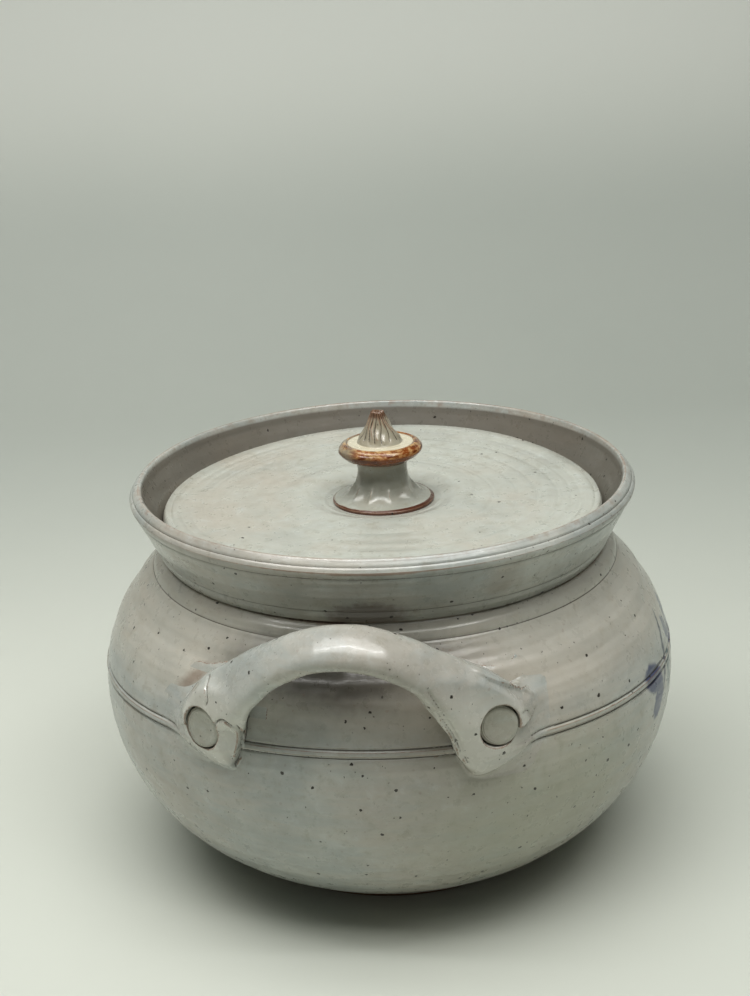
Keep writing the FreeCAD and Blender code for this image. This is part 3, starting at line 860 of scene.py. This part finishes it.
def make_ring(material):
    low, high = RING_LOW[2], RING_HIGH[2]
    middle = low + 4.4
    roll = [(11.5, low), (13.2, low + 0.6), (15.6, low + 1.9), (17.1, low + 3.3), (17.65, middle),
            (17.3, middle + 1.2), (16.3, middle + 2.4), (15.2, middle + 3.2), (14.5, high - 0.1),
            (14.0, high - 0.55), (13.4, high - 0.3), (12.0, high - 0.15)]
    outline = join([(0, low), (9, low)], spaced(roll, 0.3),
                   spaced([(11.9, high - 0.15), (9.0, high - 0.1)], 0.5), [(4, high), (0, high)])

    def relief(radius, height, angle, out_r, out_z):
        grooves = 0.05 * np.sin(TURN * height / 1.9 + 3 * angle) * (radius > 15)
        return 0.16 * wander(angle, 51, 7) * (radius > 12) + grooves

    points, faces = turned(outline, 288, relief)
    x, y, z = lean_left(points).T
    points[:, 2] += 0.02 * x * ramp(8, 17, np.hypot(x, y)) * (z > low + 0.5)
    add_mesh("iron_ring", points, faces, material, "lid", "iron_glaze", "knob_ring")


def make_finial(material):
    low, high = CONE_LOW[2], CONE_HIGH[2]
    rise = high - low
    t = np.linspace(0, 1, 60)
    line = np.stack([2.6 + 7.1 * (1 - t) ** 1.22, low - 0.25 + (rise - 0.6) * t], -1)
    crown = [(2.0, high - 0.35), (1.5, high - 0.2), (1.0, high - 0.5), (0.5, high - 0.9), (0, high - 1.0)]
    outline = join([(0, low - 0.3), (5, low - 0.3)], spaced(line, 0.22), crown)

    def relief(radius, height, angle, out_r, out_z):
        t = (height - low) / rise
        flutes = np.abs(np.sin(8 * angle + 0.7 * np.sin(3 * angle + 5 * t) + 0.5)) ** 0.7 - 0.6
        flutes *= 0.8 + 0.4 * np.sin(5 * angle + 6 * t)
        fade = ramp(0.02, 0.2, t) * (1 - 0.45 * ramp(0.6, 1, t))
        notch = 0.35 * np.cos(3 * angle + 1) * ramp(0.88, 1, t)
        return (0.75 * flutes * fade + notch + 0.25 * np.sin(4 * angle + 9 * t) * fade) * (out_r > 0.1)

    points, faces = turned(outline, 240, relief)
    add_mesh("fluted_tip", lean_left(points), faces, material, "lid", "lid_glaze", "knob_finial")


# ---------------------------------------------------------------- the handles
FLAT_R = 122.0      # radius at which azimuth is unrolled to millimetres
ROOT_TURN = math.radians(27.5)
PAD_TURN = {-1: math.radians(-24.9), 1: math.radians(26.2)}
PAD_Z = {-1: 99.4, 1: 103.2}
PAD_R = {-1: 8.2, 1: 7.9}
PAD_FACE = {-1: 126.5, 1: 126.3}
PAD_BACK = -3.9
PAD_TIP = math.radians(3)
PAD_LEAN = math.radians(26)
PAD_OVAL = np.array([1.03, 0.97])
# The strap's arch: half span, lean to the right, distance from the axis and height at its ends, how far it
# reaches out and rises in the middle
ARCH_HALF, ARCH_LEAN, ARCH_R, ARCH_Z, ARCH_OUT, ARCH_RISE = 57, 3, 104.7, 93, 22.6, 45.8
SECTION_POWER = 2.35
STRAP_CHUNK = 30000


def round_wall(azimuth, height, proud):
    """Point that stands off the bowl, from an azimuth in radians."""
    radius = bowl_radius(np.asarray(height, float)) + proud
    return np.stack([radius * np.sin(azimuth), -radius * np.cos(azimuth), height + 0 * radius], -1)


def strap_stations(count=150):
    """Centre, face normal, across direction, half width and half thickness along the strap, left to right."""
    across = np.linspace(-0.84, 0.84, 13)
    lean = 1 - across**2
    arch = np.stack([ARCH_HALF * across + ARCH_LEAN * lean, -ARCH_R - ARCH_OUT * lean,
                     ARCH_Z + ARCH_RISE * lean], -1)
    roots = [round_wall(np.array(hand * ROOT_TURN), 88.0, -1.5) for hand in (-1, 1)]
    centre = smooth_line([roots[0], *arch, roots[1]], count)
    along = unit(np.gradient(centre, axis=0))
    share = np.linspace(-1, 1, count)
    tilt = np.array([0, -ARCH_OUT, ARCH_RISE]) / math.hypot(ARCH_OUT, ARCH_RISE)
    arch_face = np.cross(np.cross([1, 0, 0], tilt)[None, :], along)
    arch_face *= np.sign(arch_face @ tilt)[:, None]
    bowl_face = unit(centre * [1, 1, 0])
    spread = (share**2)[:, None]
    face = unit(arch_face) * (1 - spread) + bowl_face * spread
    face = unit(face - along * (face * along).sum(1)[:, None])
    side = np.cross(face, along)
    side *= np.sign(side[:, 2].mean())
    # share, half width, half thickness, sideways shift (towards the outer edge)
    shape = np.array([
        (-1.00, 11.5, 4.6, 0.0), (-0.80, 12.4, 5.0, 0.4), (-0.60, 11.0, 5.4, 0.4), (-0.40, 9.8, 5.5, 0.1),
        (-0.20, 9.2, 5.5, 0.0), (0.00, 9.0, 5.5, 0.0), (0.20, 9.2, 5.5, 0.2), (0.40, 9.9, 5.5, 0.5),
        (0.60, 11.6, 5.4, 0.9), (0.80, 14.0, 5.0, 1.0), (1.00, 12.0, 4.6, 0.0)])
    width, thick, shift = (np.interp(share, shape[:, 0], shape[:, k]) for k in (1, 2, 3))
    width = width + 0.25 * np.sin(share * 11 + 1)
    centre = centre + side * shift[:, None]
    return centre, along, face, side, width, thick


STRAP = strap_stations()


def strap_distance(points):
    """Distance from the strap's skin: an oval section, flatter on its face, swept along the stations."""
    centre, along, face, side, width, thick = STRAP
    pitch = np.linalg.norm(centre[1] - centre[0])
    out = np.empty(len(points))
    for k in range(0, len(points), STRAP_CHUNK):
        p = points[k:k + STRAP_CHUNK]
        near = ((p**2).sum(1)[:, None] - 2 * p @ centre.T + (centre**2).sum(1)[None, :]).argmin(1)
        ahead = ((p - centre[near]) * along[near]).sum(1) / pitch
        place = np.clip(near + ahead, 0, len(centre) - 1.001)
        low = place.astype(int)
        f = (place - low)[:, None]
        c, n, s = (v[low] * (1 - f) + v[low + 1] * f for v in (centre, face, side))
        w = width[low] * (1 - f[:, 0]) + width[low + 1] * f[:, 0]
        t = thick[low] * (1 - f[:, 0]) + thick[low + 1] * f[:, 0]
        beyond = np.abs(near + ahead - place) * pitch
        a, b = np.abs(((p - c) * s).sum(1) / w), np.abs(((p - c) * n).sum(1) / t)
        level = (a**SECTION_POWER + b**SECTION_POWER) ** (1 / SECTION_POWER) + 1e-9
        slope = np.hypot((a / level) ** (SECTION_POWER - 1) / w, (b / level) ** (SECTION_POWER - 1) / t)
        out[k:k + STRAP_CHUNK] = np.maximum((level - 1) / np.maximum(slope, 1e-6), -4) + beyond
    return out


def off_line(u, v, line):
    """Distance from a broken line on the unrolled wall, and how far along it the nearest place is, 0 to 1."""
    best, where = np.full(np.shape(u), 1e9), np.zeros(np.shape(u))
    steps = np.linalg.norm(np.diff(line, axis=0), axis=1)
    starts = np.concatenate([[0], np.cumsum(steps)])
    for a, b, start, step in zip(line, line[1:], starts, steps):
        d = (b - a) / step
        t = np.clip((u - a[0]) * d[0] + (v - a[1]) * d[1], 0, step)
        gap = np.hypot(u - a[0] - t * d[0], v - a[1] - t * d[1])
        closer = gap < best
        best, where = np.where(closer, gap, best), np.where(closer, (start + t) / starts[-1], where)
    return best, where


def off_shape(u, v, knots):
    """Distance outside a smooth closed outline, negative inside, and the knots' other columns at the place
    nearest to it."""
    line = smooth_line(np.concatenate([knots, knots[:1]]), 120)
    away, share = off_line(u, v, line[:, :2])
    inside = np.zeros(np.shape(u), bool)
    for a, b in zip(line, line[1:]):
        spans = (a[1] > v) != (b[1] > v)
        inside ^= spans & (u < a[0] + (v - a[1]) * (b[0] - a[0]) / (b[1] - a[1] + 1e-12))
    places = np.linspace(0, 1, len(line))
    others = [np.interp(share, places, column) for column in line[:, 2:].T]
    return np.where(inside, -away, away), others


# Outlines of the clay pressed on the bowl: millimetres round the wall, height, steepness of the edge in
# degrees and how far its top is rounded
LEFT_TOE = np.array([
    (-50, 119, 80, 3), (-56.5, 116.0, 80, 3), (-62.5, 111.4, 78, 3), (-69.2, 104.9, 70, 4),
    (-73.0, 97.0, 52, 5), (-71.5, 90.5, 36, 9), (-65, 88.0, 28, 11), (-57, 87.6, 28, 11), (-51, 87.2, 34, 8),
    (-46.4, 84.2, 60, 3.4), (-42.8, 82.6, 98, 2), (-39.2, 90.8, 112, 2.4), (-36, 98.6, 114, 2.4),
    (-34.8, 106.5, 112, 3), (-39, 113, 90, 3)], float)
RIGHT_TOE = np.array([
    (44.4, 129.4, 72, 5), (52.0, 125.2, 76, 3), (62.8, 118.4, 78, 2), (71.6, 112.2, 74, 2),
    (80.2, 105.2, 58, 2.4), (79.4, 98.5, 24, 8), (74.5, 91.5, 22, 10), (66, 86.5, 24, 11), (58, 84.2, 34, 9),
    (51.6, 83.2, 66, 3.6), (47.2, 85.2, 90, 2.4), (42.4, 91.4, 104, 2), (39.0, 100.8, 108, 2),
    (34.8, 108.2, 106, 2.4), (30, 117, 95, 3), (36, 125.5, 85, 3)], float)
THUMB = np.array([(-41.2, 106.0), (-45.3, 101.5), (-45.4, 94), (-44.9, 87.5), (-43.0, 82.4),
                  (-40.6, 87.4), (-38.2, 93.5), (-37.0, 101.0)], float)
# Creases: depth and half width, then the places they pass
CREASES = (
    (0.75, 0.42, ((-57.5, 117.6), (-52.6, 118.2), (-49.6, 115.8), (-48.6, 112.2), (-49.8, 109.0))),
    (0.8, 0.42, ((-45.9, 97.5), (-45.8, 102.2), (-43.6, 105.8), (-40.4, 106.6), (-37.4, 103.4))),
    (1.0, 0.6, ((-36.8, 106.5), (-36.9, 99.5), (-38.9, 92.6), (-41.7, 86.8), (-44.0, 82.6))),
    (0.7, 0.65, ((28.6, 127.0), (32.6, 118.6), (36.4, 111.0), (39.8, 103), (42.6, 94.5), (45.6, 87.5))),
    (0.6, 0.6, ((31.6, 116.4), (34.9, 111.2), (38.3, 104.4), (40.8, 97.5), (42.2, 92))),
    (0.3, 1.0, ((50.5, 121.6), (58.2, 116.6), (64.4, 112.6), (70.0, 108.2))),
    (0.45, 0.5, ((64.0, 106.2), (67.4, 105.4), (70.4, 101.4))),
    (0.35, 0.8, ((-60.5, 88.8), (-55.0, 85.5), (-53.5, 81.0))),
)
RIDGE = smooth_line([(44, 128.4), (52.5, 122.8), (63.2, 116.0), (71.6, 110.2), (77.8, 105.2)], 40)
TOE_FACE = 126.7    # the lobes' faces stand this far from the axis, flush with the buttons
TOE_TURN = {-1: 61.0, 1: 64.5}      # past this far round, a lobe's face falls away by TOE_FALL
TOE_FALL = {-1: 0.42, 1: 0.75}
TOE_HEEL_FALL = {-1: 0.5, 1: 0.3}   # and by this much below TOE_HEEL
TOE_HEEL = 92
SHEET_LOW = {-1: np.array([-88.0, 76.0]), 1: np.array([20.0, 76.0])}
SHEET_COUNT = (310, 270)
SHEET_STEP = 0.22


def toe_sheets():
    """Everything about the lobes that depends only on the place on the unrolled wall, sampled once."""
    sheets = {}
    for hand, knots in ((-1, LEFT_TOE), (1, RIGHT_TOE)):
        sides = [low + SHEET_STEP * np.arange(count) for low, count in zip(SHEET_LOW[hand], SHEET_COUNT)]
        u, v = np.meshgrid(*sides, indexing="ij")
        away, (steep, rounding) = off_shape(u, v, knots)
        groove = np.zeros_like(u)
        for deep, wide, places in CREASES:
            gap, share = off_line(u, v, smooth_line(places, 40))
            groove += deep * bell(gap, 0, wide) * ramp(0, 0.12, share) * ramp(1, 0.88, share)
        thumb, _ = off_shape(u, v, THUMB)
        groove += 1.5 * ramp(0.2, -3.0, thumb)
        ridge, share = off_line(u, v, RIDGE)
        groove -= 1.1 * bell(ridge, 0, 1.1) * ramp(0, 0.2, share) * ramp(1.0, 0.8, share)
        sheets[hand] = np.stack([away, np.radians(steep), rounding, groove], -1)
    return sheets


SHEETS = toe_sheets()


def on_sheet(hand, u, v):
    """The sheet's columns at any place, interpolated."""
    values = SHEETS[hand]
    a, b = (np.clip((k - low) / SHEET_STEP, 0, count - 1.001)
            for k, low, count in zip((u, v), SHEET_LOW[hand], SHEET_COUNT))
    i, j = a.astype(int), b.astype(int)
    f, g = (a - i)[:, None], (b - j)[:, None]
    return ((values[i, j] * (1 - g) + values[i, j + 1] * g) * (1 - f)
            + (values[i + 1, j] * (1 - g) + values[i + 1, j + 1] * g) * f).T


def handle_field(points):
    """Distance from the front handle's skin: the strap, melted into a lobe of clay pressed on the bowl at
    each end, with a skirt that runs out on the bowl's face."""
    x, y, z = points.T
    radial = np.hypot(x, y)
    angle = np.arctan2(x, -y)
    u = angle * FLAT_R
    wall = bowl_radius(z) + bowl_skin(angle, z - cordon_lift(z, angle))
    off = (radial - wall) * np.where(z > 100, 0.88, 0.98)
    uneven = 0.3 * lumps(points, 7, 61) + 0.06 * lumps(points, 2.2, 62)
    body = strap_distance(points) - 0.5 * uneven
    groove, flare = np.zeros(len(points)), np.full(len(points), 0.9)
    for hand in (-1, 1):
        near = hand * u > 18
        away, steep, rounding, dent = on_sheet(hand, u[near], z[near])
        face = TOE_FACE - 0.012 * (z[near] - 100) + 0.5 * uneven[near]
        face -= TOE_FALL[hand] * np.maximum(hand * u[near] - TOE_TURN[hand], 0)
        face -= TOE_HEEL_FALL[hand] * np.maximum(TOE_HEEL - z[near], 0)
        thick = 7.5 + 30 * ramp(114, 102, z[near])
        undercut = np.where(steep > math.pi / 2, np.maximum(face - wall[near], 0), 0)
        side = away * np.sin(steep) + (off[near] - undercut) * np.cos(steep)
        lobe = soft_max(radial[near] - face, side, rounding)
        lobe = soft_max(lobe, face - thick - radial[near], 3)
        body[near] = soft_min(body[near], lobe, 6.5)
        flare[near] = np.clip(0.9 * rounding - 1.2, 0.8, 7)
        groove[near] += dent * ramp(-1, 0.5, off[near]) * (radial[near] > face - 6)
    skirt = soft_min(body, off + 0.12, flare)
    body = np.maximum(skirt, body - 7) + groove
    for hand in (-1, 1):
        d = pad_local(points, hand)
        around = np.hypot(d[:, 0], d[:, 1])
        dip = np.maximum(around - (PAD_R[hand] + 0.3), -(d[:, 2] + 3.4))
        body = soft_max(body, -dip, 0.35)
    return np.maximum(body, -1.6 - off)


def pad_frame(hand):
    """Centre of a pad's face, and its across, up and outward directions: it tips back with the wall."""
    turn, tip = PAD_TURN[hand], PAD_TIP
    level_out = np.array([math.sin(turn), -math.cos(turn), 0])
    out = level_out * math.cos(tip) + np.array([0, 0, math.sin(tip)])
    across = np.cross([0, 0, 1], level_out)
    up = np.cross(out, across)
    return level_out * PAD_FACE[hand] + [0, 0, PAD_Z[hand]], across, up, out


def pad_spin(hand):
    """Turns directions in the pad's face to its own short and long ways."""
    c, s = math.cos(PAD_LEAN), -hand * math.sin(PAD_LEAN)
    return np.array([[c, s], [-s, c]])


def pad_local(points, hand):
    """Points in the pad's own directions, made a little oval."""
    centre, across, up, out = pad_frame(hand)
    d = points - centre
    oval = np.stack([d @ across, d @ up], -1) @ pad_spin(hand) * PAD_OVAL
    return np.concatenate([oval, (d @ out)[:, None]], -1)


def make_pad(name, hand, turn, material, node):
    """A flattened ball of clay in its pocket: a dished face with a rounded edge."""
    size = PAD_R[hand] - 0.1
    face = [(size - 0.9, -0.12), (size - 1.8, 0.05), (size * 0.6, -0.3), (size * 0.3, -0.5), (0.6, -0.55)]
    edge = [(size - 1.0, PAD_BACK), (size - 0.2, PAD_BACK + 0.3), (size, -1.4), (size - 0.25, -0.6)]
    outline = join([(0, PAD_BACK), (size * 0.5, PAD_BACK)], spaced(edge + face, 0.25), [(0, -0.55)])

    def relief(radius, height, angle, out_r, out_z):
        skin = 0.18 * wander(angle, 71 + hand, 4) * ramp(1, size, radius) * (height > -3)
        tilt = 0.55 * (radius / size) * np.sin(angle + (0.7 if hand < 0 else -0.9)) * (out_z > 0.5)
        return skin + tilt

    points, faces = turned(outline, 120, relief)
    centre, across, up, out = pad_frame(hand)
    flat = points[:, :2] * [1, -1] / PAD_OVAL @ pad_spin(hand).T
    points = centre + flat @ [across, up] + points[:, 2:] * out
    add_mesh(name, points * [turn, turn, 1], faces, material, "pot", "pad_glaze", node)


# ---------------------------------------------------------------- the object
pot_glaze = glaze("pot_glaze", CREAM, GREY, ROSE)
bowl_glaze = glaze("bowl_glaze", CREAM, GREY, ROSE, extra=bowl_paint)
collar_glaze = glaze("collar_glaze", CREAM, GREY, ROSE, extra=collar_paint)
strap_glaze = glaze("strap_glaze", CREAM, GREY, ROSE, 0.24, extra=strap_paint)
lid_glaze = glaze("lid_glaze", colour(184, 187, 178), colour(170, 173, 165), colour(180, 171, 157),
                  streak=0.8, grains=0.35)
knob_glaze = glaze("knob_glaze", colour(178, 180, 170), colour(164, 166, 156), colour(172, 164, 148),
                   0.2, 0.3, 0.3, stem_paint)
tip_glaze = glaze("tip_glaze", colour(186, 180, 160), colour(170, 166, 150), colour(168, 150, 126),
                  0.16, 0.3, 0.4, tip_paint)
pad_glaze = glaze("pad_glaze", colour(184, 185, 175), colour(168, 172, 163), colour(172, 166, 152), 0.24, 0.4)
iron = iron_glaze()
clay = bare_clay()

make_bowl(bowl_glaze)
make_collar(collar_glaze)
make_gallery(pot_glaze)
make_foot(clay)
make_lid(lid_glaze)
make_guide(clay)
make_pedestal(knob_glaze)
make_ring(iron)
make_finial(tip_glaze)
CELL = 0.52      # of the grid that the handle's skin is found on
HANDLE_SPACE = ((-84, -138, 79), (84, -88, 147))
handle_points, handle_faces = skin(handle_field, *HANDLE_SPACE, CELL)
for side, turn in (("front", 1), ("back", -1)):
    add_mesh(f"{side}_pulled_handle", handle_points * [turn, turn, 1], handle_faces, strap_glaze,
             "pot", "pot_glaze", f"{side}_handle")
    for label, hand in (("left", -1), ("right", 1)):
        make_pad(f"{side}_{label}_button", hand, turn, pad_glaze, f"{side}_{label}_pad")


# ---------------------------------------------------------------- stage, light and camera
SWEEP_BACK = 650
SWEEP_BEND = 500


def make_stage():
    """Pale sweep: a level floor that curves up into a wall behind the pot, with painted shade on the floor
    behind the pot and towards the right, and the wall above the bend one even pale colour.
    """
    bend = arc((SWEEP_BACK, SWEEP_BEND), SWEEP_BEND, -90, 0, 24)
    profile = [(-1500, 0), *bend, (SWEEP_BACK + SWEEP_BEND, 2400)]
    points = [(x * MM, y * MM, z * MM) for y, z in profile for x in (-2000, 2000)]
    faces = [(2 * k, 2 * k + 1, 2 * k + 3, 2 * k + 2) for k in range(len(profile) - 1)]
    mesh = bpy.data.meshes.new("sweep")
    mesh.from_pydata(points, [], faces)
    mesh.polygons.foreach_set("use_smooth", [True] * len(mesh.polygons))
    n = Nodes("sweep_paper")
    place = n.place()
    x, y, z = n.parts(place)
    paper = n.mix(n.noise(place, 260, 3), colour(206, 210, 201), colour(214, 217, 208))
    # Painted shade: the floor behind the pot and the foot of the bend are painted darker.
    backdrop_shade = n.times(n.step(y, 60, 640), n.step(z, 110, 330, 1.0, 0.0))
    paper = n.over(paper, backdrop_shade, 0.34, colour(146, 156, 154))
    # Painted shade: the sweep is painted darker towards the right.
    paper = n.over(paper, n.step(x, -240, 260), 0.15, colour(150, 158, 150))
    paper = n.mix(n.step(z, 100, 340), paper, colour(216, 219, 212))
    mesh.materials.append(n.finish(paper, 0.6, n.times(n.noise(place, 3, 2), 0.02)))
    sweep = add_object("sweep", mesh)
    sweep.rotation_euler = (0, 0, CAMERA_TURN)


def make_light(name, size, place, aim, power, tint, spread=math.pi):
    light = bpy.data.lights.new(name, "AREA")
    light.shape = "RECTANGLE"
    light.size, light.size_y = size[0] * MM, size[1] * MM
    light.energy = power
    light.color = tint
    light.spread = spread
    lamp = add_object(name, light)
    place, aim = Vector(place) * MM, Vector(aim) * MM
    lamp.matrix_world = Matrix.Rotation(CAMERA_TURN, 4, "Z") @ (
        Matrix.Translation(place) @ (aim - place).to_track_quat("-Z", "Y").to_matrix().to_4x4())


# The view was solved from the photograph: the camera stands off the front handle's right and looks down
CAMERA_TURN = math.radians(8.5)
CAMERA_FAR = 662.0
CAMERA_UP = math.radians(25.3)
CAMERA_AIM = 75.0
CAMERA_YAW, CAMERA_PITCH, CAMERA_ROLL = math.radians(0.29), math.radians(6.07), math.radians(2.23)
FOCAL_PIXELS = 1500
PHOTO_LONG_SIDE = 996
SENSOR = 36.0


def make_camera():
    camera = bpy.data.cameras.new("camera")
    camera.sensor_width = SENSOR
    camera.lens = FOCAL_PIXELS * SENSOR / PHOTO_LONG_SIDE
    camera.clip_start, camera.clip_end = 0.05, 20
    forward = Vector((0, math.cos(CAMERA_UP), -math.sin(CAMERA_UP)))
    right = Vector((1, 0, 0))
    up = right.cross(forward)
    forward, right = (Matrix.Rotation(CAMERA_YAW, 3, up) @ v for v in (forward, right))
    forward = Matrix.Rotation(CAMERA_PITCH, 3, right) @ forward
    up = right.cross(forward)
    right, up = (Matrix.Rotation(CAMERA_ROLL, 3, forward) @ v for v in (right, up))
    place = Vector((0, -CAMERA_FAR * math.cos(CAMERA_UP), CAMERA_AIM + CAMERA_FAR * math.sin(CAMERA_UP))) * MM
    axes = Matrix((right, up, -forward)).transposed().to_4x4()
    view = add_object("camera", camera)
    view.matrix_world = Matrix.Rotation(CAMERA_TURN, 4, "Z") @ Matrix.Translation(place) @ axes
    bpy.context.scene.camera = view


def light_scene():
    world = bpy.data.worlds.new("studio")
    bpy.context.scene.world = world
    world.use_nodes = True
    background = world.node_tree.nodes["Background"]
    background.inputs["Color"].default_value = (*colour(226, 230, 226), 1)
    background.inputs["Strength"].default_value = 0.05
    make_light("overhead", (2000, 1000), (-70, -330, 1500), (0, 0, 60), 22.3, (1.0, 0.995, 0.97))
    make_light("front_fill", (900, 500), (0, -1050, 430), (0, 0, 90), 0.4, (1.0, 0.985, 0.95))
    make_light("wall_wash", (2200, 200), (0, 450, 1300), (0, 1150, 380), 0.27, (1.0, 1.0, 1.0),
               math.radians(80))
    make_light("strip", (1500, 40), (-60, -330, 1250), (-30, -60, 120), 3.2, (1.0, 1.0, 1.0))
    bpy.context.scene.view_settings.view_transform = "Standard"
    bpy.context.scene.view_settings.look = "Medium High Contrast"


make_stage()
make_camera()
light_scene()
